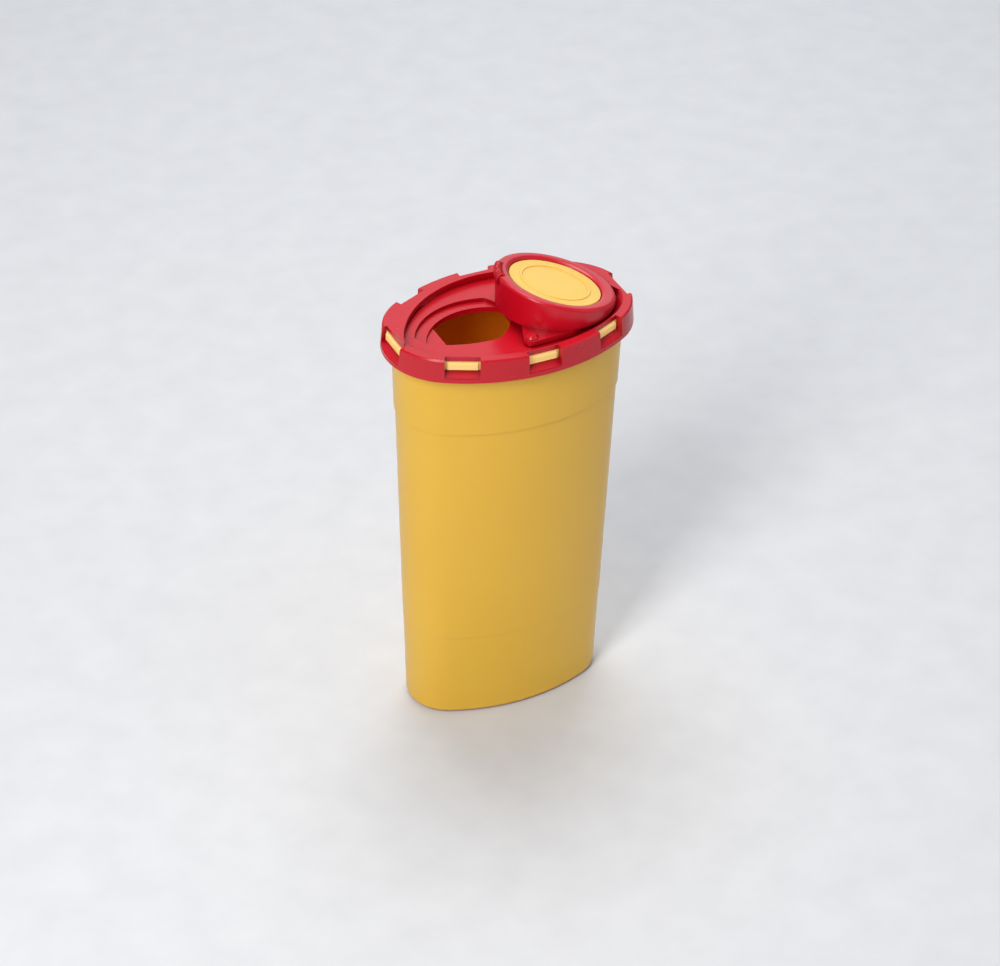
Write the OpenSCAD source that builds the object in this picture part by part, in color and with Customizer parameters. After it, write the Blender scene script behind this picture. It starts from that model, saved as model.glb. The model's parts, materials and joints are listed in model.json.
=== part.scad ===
// Oval sharps container: a drafted tub, a clipped lid with an opening, and a
// closure drum that swings over the opening and carries a round push button.
// Millimetres, +Z up, origin on the ground under the middle of the tub.

/* [Container] */
// Length of the base along X
base_length = 77.6; // [70:0.2:94]
// Width of the base along Y
base_width = 41.6; // [40:0.2:50]
// Radius of the base's two round ends
base_end_radius = 16.3; // [13:0.1:17]
// How much longer the tub is at its rim than at its base
length_draft = 9.8; // [8:0.2:16]
// How much wider the tub is at its rim than at its base
width_draft = 13.2; // [12:0.2:18]
// Height of the tub's rim
container_height = 165.2; // [130:0.1:200]
// Thickness of the tub's wall
container_wall = 1.3; // [1:0.1:1.4]
// Thickness of the tub's floor
container_floor = 1.8; // [1.2:0.1:3]
// Radius of the edge around the base
base_edge_radius = 2.2; // [1:0.1:4]
// Distance from the lid's lower edge down to the step in the tub's wall
shoulder_drop = 25.7; // [10:0.1:40]
// How far the wall steps out there
shoulder_step = 0.5; // [0.3:0.1:1]

// Height of the fine crease low on the wall
crease_height = 37.6; // [20:0.2:60]
// How far the wall steps in below that crease
crease_step = 0.2; // [0.1:0.05:0.4]

/* [Lid] */
// Height of the lid's skirt
skirt_height = 8.8; // [8.2:0.1:11]
// Distance from the tub's wall out to the skirt's outer face
skirt_reach = 3.1; // [3:0.1:4]
// Flare of the skirt from its top edge to its lower edge
skirt_flare = 0.7; // [0:0.1:1]
// Thickness of the skirt
skirt_wall = 1.2; // [1:0.1:1.4]
// Thickness of the border above the tub's rim
border_thickness = 1.85; // [1.6:0.05:3]
// Width of the flat border along the lid's edge
border_width = 3.6; // [3:0.1:4.4]
// Depth of the lid's floor below the border
floor_drop = 2.6; // [2.2:0.1:3]
// Thickness of the lid's floor
floor_thickness = 1.5; // [1.2:0.1:3]
// Radius of the back fence around the pivot
fence_radius = 45.55; // [45.5:0.05:47]
// Height of the stop at the fence's left end above the border
stop_rise = 1.5; // [0.6:0.1:2]
// Depth of the windowed recesses in the skirt
recess_depth = 3.15; // [2.8:0.05:3.4]
// Width of the recesses at the two ends
end_recess_width = 15.4; // [12:0.1:17]
// Width of the other recesses
side_recess_width = 12.6; // [10:0.1:14]

/* [Opening] */
// Distance from the lid's middle to the opening's left end
opening_left = 35.2; // [30:0.1:36]
// Distance from the lid's middle line to the opening's front edge
opening_front = 12.2; // [9:0.1:13]
// Distance from the lid's middle line to the opening's back edge
opening_back = 11.8; // [9:0.1:12.4]
// Depth of the step along the opening's back edge
ledge_depth = 1.3; // [0.8:0.1:1.8]
// Width of that step
ledge_width = 4.2; // [2:0.1:4.4]
// Depth of the chute below the floor's top face
chute_depth = 3.4; // [3:0.1:6]
// Thickness of the chute's wall
chute_wall = 1.1; // [0.9:0.1:1.5]
// Length of the unscrewing edge at the opening's left end
edge_length = 8.2; // [4:0.1:9]

/* [Closure] */
// Radius of the closure's drum
drum_radius = 21.9; // [21:0.1:22.2]
// Distance from the lid's middle line out to the drum's centre, when open
drum_offset = 18.8; // [18.4:0.1:19]
// Distance from the lid's middle line forward to the pivot
pivot_offset = 19.5; // [19.2:0.1:19.8]
// Height of the middle of the drum's top above the lid's floor
drum_height = 10.2; // [10:0.1:13]
// Slant of the drum's top, down towards the lid's end
drum_slant = 16; // [12:0.1:16.4]
// Width of the ring around the button
ring_width = 4.4; // [3.6:0.1:7]
// Thickness of the drum's wall
drum_wall = 1.5; // [1.2:0.1:2]
// Radius of the pivot pin
pivot_radius = 1.6; // [1.2:0.1:1.9]
// Thickness of the closure's foot
foot_thickness = 2; // [1.4:0.1:2.1]
// Radius of the foot's corner
foot_corner = 2.9; // [2.7:0.1:3.1]
// Gap under the closure and above its foot
running_gap = 0.4; // [0.3:0.05:0.5]
// Gap around the pivot pin
pivot_gap = 0.06; // [0.03:0.01:0.1]

/* [Push button] */
// Thickness of the button's plate
button_plate = 1.4; // [1:0.1:1.5]
// Depth of the button below the drum's ring
button_recess = 0.9; // [0.4:0.1:1]
// Travel of the button
button_travel = 1.2; // [0.8:0.1:1.3]
// Gap between the button and the ring around it
button_gap = 0.3; // [0.3:0.05:0.5]
// Radius of the button's stem
stem_radius = 2.6; // [2:0.1:3.5]
// Gap around the stem
stem_gap = 0.05; // [0.02:0.01:0.1]

/* [Hidden] */
$fn = 96;

over = 1;                      // how far a cut runs past the face it opens
high = 60;                     // more than the height of anything on the lid
wide = 240;                    // more than the width of anything
angle_step = 3.75;             // degrees of outline between two points of an oval
tub_yellow = [0.93, 0.74, 0.27];
button_yellow = [0.95, 0.82, 0.42];
lid_red = [0.78, 0.06, 0.13];
drum_red = [0.80, 0.08, 0.15];

// Tub: half sizes of the wall below the step, at height z
end_centre = base_length / 2 - base_end_radius;
function tub_a(z) = base_length / 2 + length_draft / 2 * z / container_height;
function tub_b(z) = base_width / 2 + width_draft / 2 * z / container_height;
rim_a = tub_a(container_height) + shoulder_step;
rim_b = tub_b(container_height) + shoulder_step;

// Levels of the lid
seat_gap = 0.25;               // gap between the tub's rim and the lid over it
plug_gap = 0.15;               // gap between the tub's wall and the lid inside it
border_bottom = container_height + seat_gap;
border_z = border_bottom + border_thickness;
floor_z = border_z - floor_drop;
floor_bottom = floor_z - floor_thickness;
skirt_z = border_z - skirt_height;
chute_z = floor_z - chute_depth;
shoulder_z = skirt_z - shoulder_drop;
shoulder_rise = 0.3;           // height over which the wall steps out

// Outline of the lid at its top edge
lid_a = rim_a + skirt_reach;
lid_b = rim_b + skirt_reach;
edge_round = 0.6;              // small bevel along the lid's top edge
border_slope = 3.3;            // width of the border's slope down to the floor
plug_wall = 0.4;               // wall left between the fence and the lid's plug
fence_front = -6;              // where the fence ends in front of the middle line

// Recesses: the angle of the outline's normal at each of them
recess_angles = [0, 64.7, 90, 115.3, 180, 244.7, 270, 295.3];
lug_reach = 0.9;
lug_height = 2.8;
lug_bevel = 0.6;
lug_side_gap = 0.9;
catch_gap = 0.3;
catch_z = container_height - lug_height - catch_gap;
ramp_z = skirt_z + 1.7;
catch_thickness = 1.2;
cheek = 1;                     // thickness of the walls beside a recess

// Opening: the arcs of its edges
front_arc = 39.2;
back_arc = 23.3;
end_arc = 16.6;
arc_x = -12;                   // middle of the front and back arcs along X
end_y = 3.8;                   // middle of the end arcs along Y
opening_right = 1;             // how far the opening runs past the middle
edge_thickness = 1.2;
edge_z = chute_z + edge_thickness;

// Closure
drum_at = [drum_offset, 0];
pivot_at = [0, -pivot_offset];
foot_z = floor_z + running_gap;
foot_top = foot_z + foot_thickness;
drum_z = foot_top + 0.1;       // lower edge of the drum's wall
clear_z = border_z + 0.3;      // lower edge of whatever passes over the fence
low_radius = fence_radius - 0.3;
drum_top = floor_z + drum_height;
well_radius = drum_radius - ring_width;
button_radius = well_radius - button_gap;
well_wall = 1;
pocket_depth = button_recess + button_plate + button_travel + 0.3;
pocket_floor = 1.3;
cavity_radius = well_radius - 1.1;
hollow_gap = 0.3;              // web left between the well and the drum's hollow
foot_inset = 7.2;              // keeps the foot off the border's slope
foot_root = [2, -6];
foot_side = [-2.6, -18.2];
pin_head_radius = pivot_radius + 0.7;
pin_head_height = 0.9;
pin_head_gap = 0.2;
guide_wall = 1.2;
guide_length = 2.2;
lip_reach = 0.5;
lip_height = 0.8;
lip_gap = 0.15;
slit_width = 0.9;
stem_length = pocket_depth - button_recess - button_plate + guide_length
    + lip_gap + lip_height;
mark_radius = button_radius - 4; // raised ring on the button
mark_width = 0.9;
mark_height = 0.3;

// Grip ribs on the drum's high side
grip_ribs = 8;
grip_pitch = 4;
grip_middle = 158;
grip_length = 4.4;
grip_radius = 0.45;

// Points of an oval of four arcs, with half sizes a and b. The two end arcs
// are centred e from the middle. Each point stands at a normal angle t.
function fold(t) = abs(((t + 90) % 180) - 90);
function oval_point(a, b, e, t) =
    let (r = a - e,
         c = b - r,
         k = (e * e - c * c) / (2 * c),
         turn = atan2(k, e),
         q = fold(t),
         p = q <= turn
             ? [e + r * cos(q), r * sin(q)]
             : [(b + k) * cos(q), (b + k) * sin(q) - k],
         sx = (t > 90 && t < 270) ? -1 : 1,
         sy = t > 180 ? -1 : 1)
    [sx * p[0], sy * p[1]];
function oval_points(a, b, e) =
    [for (t = [0 : angle_step : 360 - angle_step]) oval_point(a, b, e, t)];

// The oval of the tub's wall at height z, and of its rim, moved outwards by d
function tub_ring(z, d) = [z, oval_points(tub_a(z) + d, tub_b(z) + d, end_centre)];
function rim_ring(z, d) = [z, oval_points(rim_a + d, rim_b + d, end_centre)];

// A closed skin over a list of rings. Each ring is [z, points].
module skin(rings) {
    count = len(rings[0][1]);
    points = [for (ring = rings) for (p = ring[1]) [p[0], p[1], ring[0]]];
    side = [
        for (i = [0 : len(rings) - 2])
            for (j = [0 : count - 1])
                let (m = (j + 1) % count,
                     p0 = i * count + j,
                     p1 = i * count + m,
                     p2 = (i + 1) * count + m,
                     p3 = (i + 1) * count + j)
                each [[p0, p2, p1], [p0, p3, p2]]
    ];
    first = [for (j = [0 : count - 1]) j];
    last = [for (j = [count - 1 : -1 : 0]) (len(rings) - 1) * count + j];
    polyhedron(points, concat([first], side, [last]));
}

// A block with the lid's outline, moved outwards by d, between two heights
module lid_block(d, z0, z1) {
    translate([0, 0, z0])
        linear_extrude(z1 - z0)
            polygon(oval_points(lid_a + d, lid_b + d, end_centre));
}

// A cylinder around the pivot, between two heights
module pivot_cylinder(r, z0, z1) {
    translate([pivot_at[0], pivot_at[1], z0])
        cylinder(r = r, h = z1 - z0);
}

// Puts children at every recess: X out of the wall, from its face at the rim
module at_recesses() {
    for (t = recess_angles) {
        $recess = t % 180 == 0 ? end_recess_width : side_recess_width;
        p = oval_point(rim_a, rim_b, end_centre, t);
        translate([p[0], p[1], 0])
            rotate(t)
                children();
    }
}

// A profile in X and Z, drawn out along Y over a width w about the middle
module ramp(w, profile) {
    translate([0, w / 2, 0])
        rotate([90, 0, 0])
            linear_extrude(w)
                polygon(profile);
}

module container() {
    inner_low = -container_wall;
    inner_high = shoulder_step - container_wall;
    floor_corner = container_floor + base_edge_radius;
    color(tub_yellow) union() {
        skin(concat(
            [for (t = [0 : 30 : 90])
                tub_ring(base_edge_radius * (1 - cos(t)),
                         -crease_step - base_edge_radius * (1 - sin(t)))],
            [tub_ring(crease_height - crease_step, -crease_step),
             tub_ring(crease_height, 0),
             tub_ring(shoulder_z, 0),
             tub_ring(shoulder_z + shoulder_rise, shoulder_step),
             tub_ring(container_height, shoulder_step),
             tub_ring(container_height, inner_high),
             tub_ring(shoulder_z + shoulder_rise, inner_high),
             tub_ring(shoulder_z, inner_low),
             tub_ring(floor_corner, inner_low),
             tub_ring(container_floor, inner_low - base_edge_radius)]));
        at_recesses()
            ramp($recess - 2 * lug_side_gap, [
                [-container_wall / 2, container_height - lug_height],
                [lug_reach, container_height - lug_height],
                [lug_reach, container_height - lug_bevel],
                [lug_reach - lug_bevel, container_height],
                [-container_wall / 2, container_height]]);
    }
}

// The opening's outline, with its arcs moved outwards by d. The back edge
// moves by a further b.
module opening_outline(d, b) {
    intersection() {
        translate([arc_x, front_arc - opening_front])
            circle(front_arc + d);
        translate([arc_x, opening_back - back_arc])
            circle(back_arc + d + b);
        union() {
            translate([end_arc - opening_left, end_y])
                circle(end_arc + d + b / 2);
            translate([opening_right - end_arc, end_y])
                circle(end_arc + d);
            translate([end_arc - opening_left, end_y - end_arc - d])
                square([opening_left + opening_right - 2 * end_arc,
                        2 * (end_arc + d) + b / 2]);
        }
    }
}

module opening_block(d, b, z0, z1) {
    translate([0, 0, z0])
        linear_extrude(z1 - z0)
            opening_outline(d, b);
}

module lid_shell() {
    plug = -container_wall - plug_gap;
    skirt_inner = skirt_reach - skirt_wall;
    land = skirt_reach - border_width;
    skin([rim_ring(floor_bottom, plug),
          rim_ring(border_bottom, plug),
          rim_ring(border_bottom, skirt_inner),
          rim_ring(skirt_z, skirt_inner + skirt_flare),
          rim_ring(skirt_z, skirt_reach + skirt_flare),
          rim_ring(border_z - edge_round, skirt_reach),
          rim_ring(border_z, skirt_reach - edge_round),
          rim_ring(border_z, land),
          rim_ring(floor_z, land - border_slope)]);
}

// The border behind the swinging closure: full height up to the fence
module fence() {
    difference() {
        intersection() {
            lid_block(-edge_round, border_bottom, border_z);
            translate([-wide / 2, fence_front, 0])
                cube([wide, wide, wide]);
        }
        pivot_cylinder(fence_radius, border_bottom - over, border_z + over);
    }
    // Stop at the left end
    difference() {
        intersection() {
            lid_block(-edge_round, border_bottom, border_z + stop_rise);
            translate([-lid_a, fence_front - 1, 0])
                cube([lid_a / 4, 7, wide]);
        }
        pivot_cylinder(fence_radius, border_bottom - over, border_z + high);
    }
}

module fence_cut() {
    inset = skirt_reach + container_wall + plug_gap + plug_wall;
    intersection() {
        pivot_cylinder(fence_radius, floor_z, border_z + over);
        union() {
            lid_block(-inset, floor_z, border_z + over);
            lid_block(-inset + plug_wall, border_bottom + plug_gap, border_z + over);
        }
        translate([-wide / 2, fence_front, 0])
            cube([wide, wide, wide]);
    }
}

module pivot_pin() {
    head_z = foot_top + pin_head_gap;
    translate([pivot_at[0], pivot_at[1], floor_z - floor_thickness / 2])
        cylinder(r = pivot_radius, h = head_z + pin_head_height / 2
            - floor_z + floor_thickness / 2);
    translate([pivot_at[0], pivot_at[1], head_z])
        cylinder(r1 = pin_head_radius, r2 = pin_head_radius - pin_head_height,
                 h = pin_head_height);
}

module lid() {
    recess_in = skirt_reach - recess_depth;
    skirt_out = skirt_reach + skirt_flare;
    color(lid_red) union() {
        difference() {
            union() {
                lid_shell();
                fence();
                opening_block(chute_wall, ledge_width, floor_bottom - over, floor_z);
                opening_block(chute_wall, 0, chute_z, floor_z);
            }
            fence_cut();
            opening_block(0, ledge_width, floor_z - ledge_depth, floor_z + over);
            opening_block(0, 0, chute_z - over, floor_z + over);
            at_recesses()
                translate([recess_in, -$recess / 2, ramp_z])
                    cube([skirt_out - recess_in + over, $recess, high]);
        }
        // Edge for unscrewing needles, across the opening's left end
        intersection() {
            opening_block(chute_wall / 2, 0, edge_z - edge_thickness, edge_z);
            translate([-opening_left - over, -wide / 2, 0])
                cube([edge_length + over, wide, wide]);
        }
        // Catches and the walls beside them, kept within the skirt
        intersection() {
            at_recesses()
                ramp($recess + cheek, [
                    [catch_gap, catch_z],
                    [skirt_out, ramp_z],
                    [skirt_out, ramp_z - catch_thickness],
                    [skirt_reach - skirt_wall + 0.3, ramp_z - catch_thickness],
                    [catch_gap, catch_z - catch_thickness]]);
            lid_block(skirt_flare / 2, skirt_z, border_z);
        }
        intersection() {
            at_recesses()
                for (side = [-1, 1])
                    translate([catch_gap, side * ($recess + cheek) / 2 - cheek / 2,
                               ramp_z])
                        cube([skirt_reach - skirt_wall / 2 - catch_gap, cheek,
                              border_z - edge_round - ramp_z]);
            lid_block(-skirt_wall / 2, skirt_z, border_z);
        }
        pivot_pin();
    }
}

// Puts children in the drum's slanted frame: Z out of the ring's plane
module at_ring() {
    translate([drum_at[0], drum_at[1], drum_top])
        rotate([0, drum_slant, 0])
            children();
}

// Everything below a plane parallel to the ring, a depth d under it
module under_ring(d) {
    at_ring()
        translate([-wide / 2, -wide / 2, -wide - d])
            cube([wide, wide, wide]);
}

module drum_tube(r, z0) {
    translate([drum_at[0], drum_at[1], z0])
        cylinder(r = r, h = high);
}

module foot_outline() {
    translate(pivot_at)
        circle(foot_corner);
    polygon([[pivot_at[0], pivot_at[1] - foot_corner],
             [drum_at[0], drum_at[1] - drum_radius],
             drum_at,
             foot_root,
             foot_side]);
}

module foot() {
    intersection() {
        translate([0, 0, foot_z])
            linear_extrude(foot_thickness)
                foot_outline();
        lid_block(-foot_inset, foot_z - over, foot_top + over);
    }
    // Web that joins the foot to the drum's wall
    intersection() {
        translate([0, 0, foot_z])
            linear_extrude(drum_z - foot_z + over)
                foot_outline();
        lid_block(-foot_inset, foot_z - over, drum_z + 2 * over);
        drum_tube(drum_radius, foot_z - over);
    }
}

// Short ribs across the ring's outer edge on its high side
module grip() {
    for (i = [0 : grip_ribs - 1])
        at_ring()
            rotate(grip_middle + (i - (grip_ribs - 1) / 2) * grip_pitch)
                translate([drum_radius - grip_length / 2, 0, -grip_radius / 3])
                    rotate([0, 90, 0])
                        cylinder(r = grip_radius, h = grip_length, center = true, $fn = 24);
}

module closure() {
    color(drum_red) union() {
        difference() {
            union() {
                intersection() {
                    drum_tube(drum_radius, drum_z);
                    under_ring(0);
                }
                translate([drum_at[0], drum_at[1], foot_z])
                    cylinder(r = well_radius + well_wall, h = drum_z - foot_z + over);
                foot();
            }
            // Pocket for the button
            at_ring()
                translate([0, 0, -pocket_depth])
                    cylinder(r = well_radius, h = high);
            // Hollow under the button, and hollow of the drum's wall
            intersection() {
                drum_tube(cavity_radius, foot_z - over);
                under_ring(pocket_depth + pocket_floor);
            }
            difference() {
                intersection() {
                    drum_tube(drum_radius - drum_wall, drum_z - over);
                    under_ring(drum_wall);
                }
                drum_tube(well_radius + well_wall + hollow_gap, drum_z - 2 * over);
                translate([0, 0, drum_z - 2 * over])
                    linear_extrude(2 * over + 1)
                        foot_outline();
            }
            // What would meet the fence
            difference() {
                pivot_cylinder(wide, foot_z - over, clear_z);
                pivot_cylinder(low_radius, foot_z - 2 * over, clear_z + over);
            }
            pivot_cylinder(pivot_radius + pivot_gap, foot_z - over, foot_top + over);
            at_ring()
                translate([0, 0, -high])
                    cylinder(r = stem_radius + stem_gap, h = high);
        }
        // Guide tube for the stem
        at_ring()
            translate([0, 0, -pocket_depth - guide_length])
                difference() {
                    cylinder(r = stem_radius + stem_gap + guide_wall, h = guide_length);
                    translate([0, 0, -over])
                        cylinder(r = stem_radius + stem_gap, h = guide_length + 2 * over);
                }
        intersection() {
            grip();
            drum_tube(drum_radius + grip_radius, drum_z);
        }
    }
}

module push_button() {
    plate_low = -button_recess - button_plate;
    color(button_yellow) at_ring() {
        translate([0, 0, plate_low])
            cylinder(r = button_radius, h = button_plate);
        // Raised ring
        translate([0, 0, -button_recess - over / 2])
            difference() {
                cylinder(r = mark_radius, h = mark_height + over / 2);
                translate([0, 0, -over])
                    cylinder(r = mark_radius - mark_width, h = high);
            }
        // Split stem with a lip that holds the button in its guide
        difference() {
            union() {
                translate([0, 0, plate_low - stem_length])
                    cylinder(r = stem_radius, h = stem_length + over / 2);
                translate([0, 0, plate_low - stem_length])
                    cylinder(r1 = stem_radius, r2 = stem_radius + lip_reach, h = lip_height);
            }
            translate([-slit_width / 2, -stem_radius * 2, plate_low - stem_length - over])
                cube([slit_width, 4 * stem_radius, stem_length]);
        }
    }
}

container();
lid();
closure();
push_button();
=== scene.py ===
import json
import math

import bmesh
import bpy
from mathutils import Matrix, Vector


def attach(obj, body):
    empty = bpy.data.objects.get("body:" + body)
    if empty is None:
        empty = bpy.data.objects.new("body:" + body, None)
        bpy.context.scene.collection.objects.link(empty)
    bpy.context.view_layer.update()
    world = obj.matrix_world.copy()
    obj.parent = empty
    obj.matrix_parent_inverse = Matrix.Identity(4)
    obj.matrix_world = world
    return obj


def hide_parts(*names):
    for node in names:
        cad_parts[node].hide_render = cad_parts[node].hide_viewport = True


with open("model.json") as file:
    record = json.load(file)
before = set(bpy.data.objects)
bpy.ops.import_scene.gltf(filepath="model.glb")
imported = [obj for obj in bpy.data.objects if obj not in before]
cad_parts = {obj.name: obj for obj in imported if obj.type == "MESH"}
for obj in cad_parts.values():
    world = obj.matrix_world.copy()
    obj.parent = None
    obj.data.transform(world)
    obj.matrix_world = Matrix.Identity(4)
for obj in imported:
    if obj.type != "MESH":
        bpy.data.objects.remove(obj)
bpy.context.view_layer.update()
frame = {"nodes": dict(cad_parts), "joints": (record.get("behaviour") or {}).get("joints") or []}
MM = 0.001

# CAD sizes that the looks follow
drum_radius = 21.9 * MM
well_radius = 17.5 * MM                     # the button's pocket in the ring
ring_centre = Vector((18.8, 0, 174.9)) * MM
# heights over which the painted glow on the tub's lugs fades in
lugs_from, lugs_full = 161.0 * MM, 162.2 * MM
floor_below = 10 * MM                       # the tub's inner floor lies under this


# ---------------------------------------------------------------- materials
def new_material(name):
    m = bpy.data.materials.new(name)
    m.use_nodes = True
    nodes = m.node_tree.nodes
    return m, nodes, m.node_tree.links, nodes["Principled BSDF"], nodes["Material Output"]


def add_noise(nodes, links, coords, scale, detail):
    n = nodes.new("ShaderNodeTexNoise")
    n.inputs["Scale"].default_value = scale
    n.inputs["Detail"].default_value = detail
    links.new(coords, n.inputs["Vector"])
    return n


def ramp(nodes, links, fac, low, high, c0, c1):
    r = nodes.new("ShaderNodeValToRGB")
    r.color_ramp.elements[0].position = low
    r.color_ramp.elements[0].color = (*c0, 1)
    r.color_ramp.elements[1].position = high
    r.color_ramp.elements[1].color = (*c1, 1)
    links.new(fac, r.inputs["Fac"])
    return r


def mix_colour(nodes, links, fac, under, colour):
    m = nodes.new("ShaderNodeMix")
    m.data_type = "RGBA"
    links.new(fac, m.inputs["Factor"])
    links.new(under, m.inputs["A"])
    m.inputs["B"].default_value = (*colour, 1)
    return m.outputs["Result"]


def multiply(nodes, links, value):
    m = nodes.new("ShaderNodeMath")
    m.operation = "MULTIPLY"
    links.new(value, m.inputs[0])
    return m


def add_bump(nodes, links, height, strength, distance):
    b = nodes.new("ShaderNodeBump")
    b.inputs["Strength"].default_value = strength
    b.inputs["Distance"].default_value = distance
    links.new(height, b.inputs["Height"])
    return b


def moulded(name, base, dark, edge, rough, sss, radius, glow=0.0, glow_colour=(1, 1, 1),
            crevice_shade=None, crevice_shade_reach=0.002, lug_glow=None):
    """Moulded plastic: slight colour drift, fine grain, painted highlight on rounded edges, some
    light let through.
    """
    m, nodes, links, bsdf, out = new_material(name)
    where = nodes.new("ShaderNodeTexCoord").outputs["Object"]
    drift = add_noise(nodes, links, where, 28.0, 3.0)
    body = ramp(nodes, links, drift.outputs["Fac"], 0.35, 0.65, dark, base)
    # painted highlight: rounded edges are tinted towards the lighter edge colour, broken up by
    # fine noise
    rounded = nodes.new("ShaderNodeBevel")
    rounded.samples = 4
    rounded.inputs["Radius"].default_value = 0.0005
    facing = nodes.new("ShaderNodeVectorMath")
    facing.operation = "DOT_PRODUCT"
    links.new(rounded.outputs["Normal"], facing.inputs[0])
    links.new(nodes.new("ShaderNodeNewGeometry").outputs["Normal"], facing.inputs[1])
    edge_highlight_mask = ramp(nodes, links, facing.outputs["Value"], 0.80, 0.99, (0.6, 0.6, 0.6), (0, 0, 0))
    highlight_breakup_noise = add_noise(nodes, links, where, 420.0, 4.0)
    edge_highlight_fac = multiply(nodes, links, edge_highlight_mask.outputs["Color"])
    links.new(highlight_breakup_noise.outputs["Fac"], edge_highlight_fac.inputs[1])
    tint = mix_colour(nodes, links, edge_highlight_fac.outputs["Value"], body.outputs["Color"], edge)
    if crevice_shade:
        # painted shade: colour darkens towards the crevice colour where ambient occlusion finds
        # walls close by
        crevice_ao = nodes.new("ShaderNodeAmbientOcclusion")
        crevice_ao.samples = 6
        crevice_ao.inputs["Distance"].default_value = crevice_shade_reach
        painted_shade_mask = ramp(nodes, links, crevice_ao.outputs["AO"], 0.45, 0.95, (1, 1, 1), (0, 0, 0))
        tint = mix_colour(nodes, links, painted_shade_mask.outputs["Color"], tint, crevice_shade)
    if lug_glow:
        # painted glow: the lugs at the rim are tinted lighter and given a faint emission,
        # standing in for light shining through them
        split = nodes.new("ShaderNodeSeparateXYZ")
        links.new(where, split.inputs["Vector"])
        lift = nodes.new("ShaderNodeMapRange")
        lift.inputs["From Min"].default_value = lugs_from
        lift.inputs["From Max"].default_value = lugs_full
        links.new(split.outputs["Z"], lift.inputs["Value"])
        tint = mix_colour(nodes, links, lift.outputs["Result"], tint, lug_glow)
        links.new(tint, bsdf.inputs["Emission Color"])
        lug_glow_strength = multiply(nodes, links, lift.outputs["Result"])
        lug_glow_strength.inputs[1].default_value = 0.22
        links.new(lug_glow_strength.outputs["Value"], bsdf.inputs["Emission Strength"])
    links.new(tint, bsdf.inputs["Base Color"])
    haze = add_noise(nodes, links, where, 90.0, 5.0)
    span = nodes.new("ShaderNodeMapRange")
    span.inputs["To Min"].default_value = rough - 0.03
    span.inputs["To Max"].default_value = rough + 0.04
    links.new(haze.outputs["Fac"], span.inputs["Value"])
    links.new(span.outputs["Result"], bsdf.inputs["Roughness"])
    grain = add_noise(nodes, links, where, 2600.0, 2.0)
    wave = add_noise(nodes, links, where, 45.0, 2.0)
    fine = add_bump(nodes, links, grain.outputs["Fac"], 0.05, 0.1 * MM)
    broad = add_bump(nodes, links, wave.outputs["Fac"], 0.03, 0.6 * MM)
    links.new(fine.outputs["Normal"], broad.inputs["Normal"])
    links.new(broad.outputs["Normal"], bsdf.inputs["Normal"])
    bsdf.inputs["Subsurface Weight"].default_value = sss
    bsdf.inputs["Subsurface Radius"].default_value = radius
    bsdf.inputs["Subsurface Scale"].default_value = 0.004
    bsdf.inputs["IOR"].default_value = 1.49
    if glow:
        thin = nodes.new("ShaderNodeBsdfTranslucent")
        thin.inputs["Color"].default_value = (*glow_colour, 1)
        both = nodes.new("ShaderNodeMixShader")
        both.inputs["Fac"].default_value = glow
        links.new(bsdf.outputs["BSDF"], both.inputs[1])
        links.new(thin.outputs["BSDF"], both.inputs[2])
        links.new(both.outputs["Shader"], out.inputs["Surface"])
    return m


tub_mat = moulded("tub_yellow", (0.93, 0.55, 0.052), (0.915, 0.535, 0.049), (0.95, 0.63, 0.12),
                  0.30, 0.12, (1.0, 0.5, 0.08), 0.12, (0.95, 0.48, 0.02),
                  crevice_shade=(0.60, 0.27, 0.012), crevice_shade_reach=0.0016, lug_glow=(0.98, 0.66, 0.22))
# painted shade: the tub's inner walls and floor get a darker, more orange copy of the tub's
# yellow
shaded_inside_mat = moulded("tub_inside_painted_shade", (0.88, 0.36, 0.014), (0.83, 0.31, 0.010), (0.92, 0.45, 0.04),
                     0.40, 0.30, (1.0, 0.4, 0.05), 0.50, (1.0, 0.48, 0.02))
lid_mat = moulded("lid_red", (0.58, 0.002, 0.014), (0.54, 0.002, 0.012), (0.76, 0.02, 0.045),
                  0.26, 0.0, (1.0, 0.1, 0.08), crevice_shade=(0.30, 0.001, 0.004), crevice_shade_reach=0.004)
drum_mat = moulded("drum_red", (0.60, 0.002, 0.016), (0.55, 0.002, 0.013), (0.78, 0.025, 0.05),
                   0.29, 0.0, (1.0, 0.1, 0.08), crevice_shade=(0.32, 0.001, 0.004), crevice_shade_reach=0.003)
button_mat = moulded("button_yellow", (0.95, 0.60, 0.10), (0.92, 0.56, 0.085), (0.97, 0.68, 0.18),
                     0.36, 0.25, (1.0, 0.6, 0.15), crevice_shade=(0.88, 0.28, 0.015), crevice_shade_reach=0.0022)


# ------------------------------------------------------------------ pieces
def add_object(name, data):
    o = bpy.data.objects.new(name, data)
    bpy.context.scene.collection.objects.link(o)
    return o


def piece(name, bm, mat, body, smooth=math.radians(32)):
    mesh = bpy.data.meshes.new(name)
    for e in bm.edges:
        e.smooth = len(e.link_faces) == 2 and e.calc_face_angle(0) < smooth
    for f in bm.faces:
        f.smooth = True
    bm.to_mesh(mesh)
    bm.free()
    o = add_object(name, mesh)
    mesh.materials.append(mat)
    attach(o, body)
    return o


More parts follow.
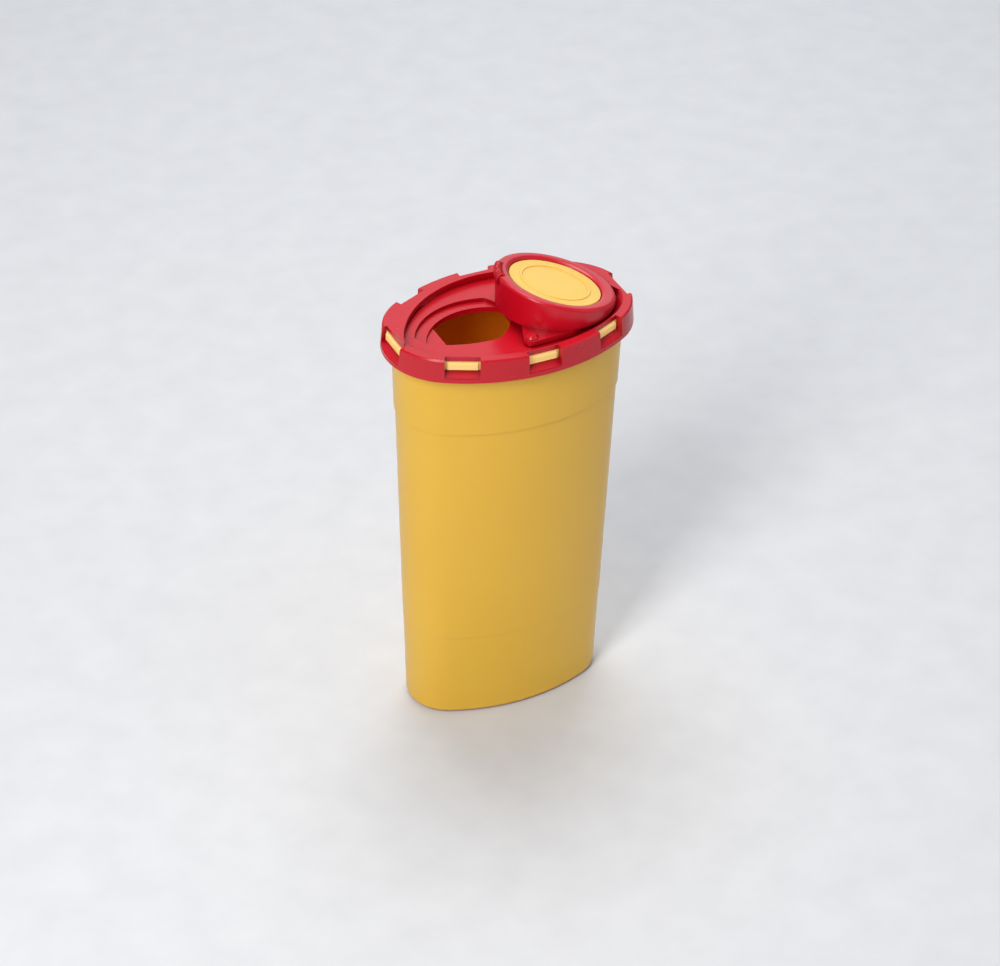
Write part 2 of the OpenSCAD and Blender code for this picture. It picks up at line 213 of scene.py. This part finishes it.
def from_cad(node, name, mat, body, bevel, trim=None, shaded_inside=None, flat=0.5):
    """A copy of the CAD node with merged faces and rounded edges."""
    bm = bmesh.new()
    bm.from_mesh(frame["nodes"][node].data)
    bmesh.ops.remove_doubles(bm, verts=bm.verts, dist=2e-6)
    bmesh.ops.dissolve_limit(bm, angle_limit=math.radians(flat), verts=bm.verts, edges=bm.edges)
    # faces inside the tub take the second material, which is the painted-shade copy
    if shaded_inside:
        for f in bm.faces:
            c = f.calc_center_median()
            inner_wall = f.normal.x * c.x + f.normal.y * c.y < 0 and abs(f.normal.z) < 0.5
            inner_floor = f.normal.z > 0.7 and c.z < floor_below
            f.material_index = int(inner_wall or inner_floor)
    if trim:
        bmesh.ops.bisect_plane(bm, geom=bm.verts[:] + bm.edges[:] + bm.faces[:], dist=1e-6,
                               plane_co=trim[0], plane_no=trim[1], clear_outer=True)
    o = piece(name, bm, mat, body)
    if shaded_inside:
        o.data.materials.append(shaded_inside)
    b = o.modifiers.new("round", "BEVEL")
    b.width = bevel
    b.segments = 3
    b.limit_method = "ANGLE"
    b.angle_limit = math.radians(35)
    b.use_clamp_overlap = True
    b.harden_normals = False
    w = o.modifiers.new("normals", "WEIGHTED_NORMAL")
    w.keep_sharp = False
    w.weight = 60
    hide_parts(node)
    return o


from_cad("container", "tub", tub_mat, "base", 0.25 * MM, shaded_inside=shaded_inside_mat)
from_cad("lid", "lid_moulding", lid_mat, "base", 0.28 * MM, flat=1.6)
# The drum: its CAD wall up to just under the ring, and a rounded ring on top
slide = next(j for j in frame["joints"] if j["name"] == "button_push")
out_of = -Vector(slide["axis"]).normalized()
across = Vector((0, 1, 0))
along = across.cross(out_of)
cap_depth = 1.35 * MM                       # how far under the ring's plane the CAD wall is cut
ring_foot = cap_depth + 0.02 * MM
shoulder = 1.3 * MM                         # radius of the ring's outer round
from_cad("closure", "drum_moulding", drum_mat, "closure", 0.25 * MM,
         (ring_centre - out_of * cap_depth, out_of))


def outer_edge(angle, depth, inset):
    """Point on the drum's upright wall, at a depth under the ring's plane, moved inwards."""
    r = drum_radius - inset
    x = ring_centre.x + r * math.cos(angle)
    y = ring_centre.y + r * math.sin(angle)
    level = ring_centre - out_of * depth
    z = level.z - ((x - level.x) * out_of.x + (y - level.y) * out_of.y) / out_of.z
    return Vector((x, y, z))


def inner_edge(angle, depth, outset):
    """Point on the button's slanted pocket, at a depth under the ring's plane, moved outwards."""
    r = well_radius + outset
    return (ring_centre - out_of * depth + along * (r * math.cos(angle))
            + across * (r * math.sin(angle)))


def drum_ring():
    """Ring with a full outer round and a bevelled inner edge."""
    bm = bmesh.new()
    steps = 160
    turns = [k * math.pi / 16 for k in range(9)]
    rows = []
    for i in range(steps):
        a = 2 * math.pi * i / steps
        row = [outer_edge(a, ring_foot, 0)]
        for t in turns:
            row.append(outer_edge(a, shoulder * (1 - math.sin(t)), shoulder * (1 - math.cos(t))))
        row.append(inner_edge(a, 0, 1.5 * MM))
        row.append(inner_edge(a, 0.08 * MM, 1.15 * MM))
        row.append(inner_edge(a, 0.55 * MM, 0.3 * MM))
        row.append(inner_edge(a, 0.75 * MM, 0.06 * MM))
        row.append(inner_edge(a, 0.95 * MM, 0))
        row.append(inner_edge(a, ring_foot, 0))
        rows.append([bm.verts.new(p) for p in row])
    for i in range(steps):
        here, there = rows[i], rows[(i + 1) % steps]
        for j in range(len(here) - 1):
            bm.faces.new((here[j], there[j], there[j + 1], here[j + 1]))
    bmesh.ops.recalc_face_normals(bm, faces=bm.faces)
    return bm


piece("drum_ring", drum_ring(), drum_mat, "closure", math.radians(50))


def grip_ribs():
    """Short rounded ribs over the ring's outer shoulder on its high side."""
    count, middle, pitch = 9, 158, 3.7      # turns are in degrees about the drum
    proud = 0.25 * MM
    sides = 8
    bm = bmesh.new()
    for k in range(count):
        a = math.radians(middle + (k - count // 2) * pitch)
        path = [outer_edge(a, 4.2 * MM, -0.2 * MM), outer_edge(a, 1.6 * MM, -0.3 * MM)]
        for t in (0, 20, 45, 70, 90):
            t = math.radians(t)
            path.append(outer_edge(a, shoulder * (1 - math.sin(t)) - proud * math.sin(t),
                                   shoulder * (1 - math.cos(t)) - proud * math.cos(t)))
        path.append(outer_edge(a, -0.15 * MM, 2.6 * MM))
        side = Vector((-math.sin(a), math.cos(a), 0))
        core = ring_centre - out_of * 4 * MM
        rings = []
        for n, p in enumerate(path):
            before, after = path[max(n - 1, 0)], path[min(n + 1, len(path) - 1)]
            lift = side.cross(after - before).normalized()
            if lift.dot(p - core) < 0:
                lift.negate()
            size = (0.2 if n in (0, len(path) - 1) else 0.5) * MM
            ring = []
            for q in range(sides):
                b = 2 * math.pi * q / sides
                ring.append(bm.verts.new(p + side * (size * math.cos(b))
                                         + lift * (size * 0.8 * math.sin(b))))
            rings.append(ring)
        for r0, r1 in zip(rings, rings[1:]):
            for q in range(sides):
                s = (q + 1) % sides
                bm.faces.new((r0[q], r0[s], r1[s], r1[q]))
        bm.faces.new(rings[0])
        bm.faces.new(rings[-1])
    bmesh.ops.recalc_face_normals(bm, faces=bm.faces)
    return bm


piece("grip_ribs", grip_ribs(), drum_mat, "closure", math.radians(60))
from_cad("push_button", "button_disc", button_mat, "button", 0.3 * MM)

# ------------------------------------------------------------ floor and light
floor_mat, fn, fl, fb, _ = new_material("paper_floor")
speck = add_noise(fn, fl, fn.new("ShaderNodeTexCoord").outputs["Object"], 60.0, 5.0)
tone = ramp(fn, fl, speck.outputs["Fac"], 0.3, 0.7, (0.70, 0.71, 0.73), (0.74, 0.75, 0.77))
fl.new(tone.outputs["Color"], fb.inputs["Base Color"])
fb.inputs["Roughness"].default_value = 0.75
bm = bmesh.new()
bmesh.ops.create_grid(bm, x_segments=1, y_segments=1, size=6)
floor_mesh = bpy.data.meshes.new("floor")
bm.to_mesh(floor_mesh)
bm.free()
floor = add_object("floor", floor_mesh)
floor_mesh.materials.append(floor_mat)

bpy.context.scene.view_settings.view_transform = "Standard"
world = bpy.data.worlds.new("studio")
bpy.context.scene.world = world
world.use_nodes = True
world.node_tree.nodes["Background"].inputs["Color"].default_value = (0.80, 0.84, 0.92, 1)
world.node_tree.nodes["Background"].inputs["Strength"].default_value = 0.32


def softbox(name, at, look, size, power, colour):
    data = bpy.data.lights.new(name, "AREA")
    data.shape = "RECTANGLE"
    data.size, data.size_y = size
    data.energy = power
    data.color = colour
    o = add_object(name, data)
    o.location = at
    o.rotation_euler = (Vector(look) - Vector(at)).to_track_quat("-Z", "Y").to_euler()


softbox("key", (-0.75, -0.55, 0.85), (0, 0, 0.1), (0.30, 0.7), 9.5, (1, 0.98, 0.95))
softbox("fill", (0.9, -0.5, 0.6), (0, 0, 0.08), (0.9, 0.9), 1.3, (0.95, 0.97, 1))
softbox("top", (0.1, 0.35, 1.1), (0, 0, 0.16), (0.6, 0.5), 6, (1, 1, 1))
softbox("rear", (0.5, 0.9, 0.5), (0, 0, 0.09), (0.8, 0.8), 1.6, (1, 1, 1))

# ------------------------------------------------------------------- camera
azimuth, elevation, roll = (math.radians(a) for a in (-26.15, 35.58, 1.24))
back = Vector((math.sin(azimuth) * math.cos(elevation),
               -math.cos(azimuth) * math.cos(elevation),
               math.sin(elevation)))
right = Vector((math.cos(azimuth), math.sin(azimuth), 0))
up = back.cross(right)
right2 = right * math.cos(roll) + up * math.sin(roll)
up2 = up * math.cos(roll) - right * math.sin(roll)
aim = Vector((0, 0, 96)) * MM
distance, sideways, upwards = 1141.28 * MM, -1.712 * MM, -4.368 * MM
place = aim + back * distance + right2 * sideways + up2 * upwards
cam_data = bpy.data.cameras.new("camera")
cam_data.sensor_width = 36
cam_data.lens = 110.173
cam = add_object("camera", cam_data)
turn = Matrix((right2, up2, back)).transposed().to_4x4()
cam.matrix_world = Matrix.Translation(place) @ turn
bpy.context.scene.camera = cam
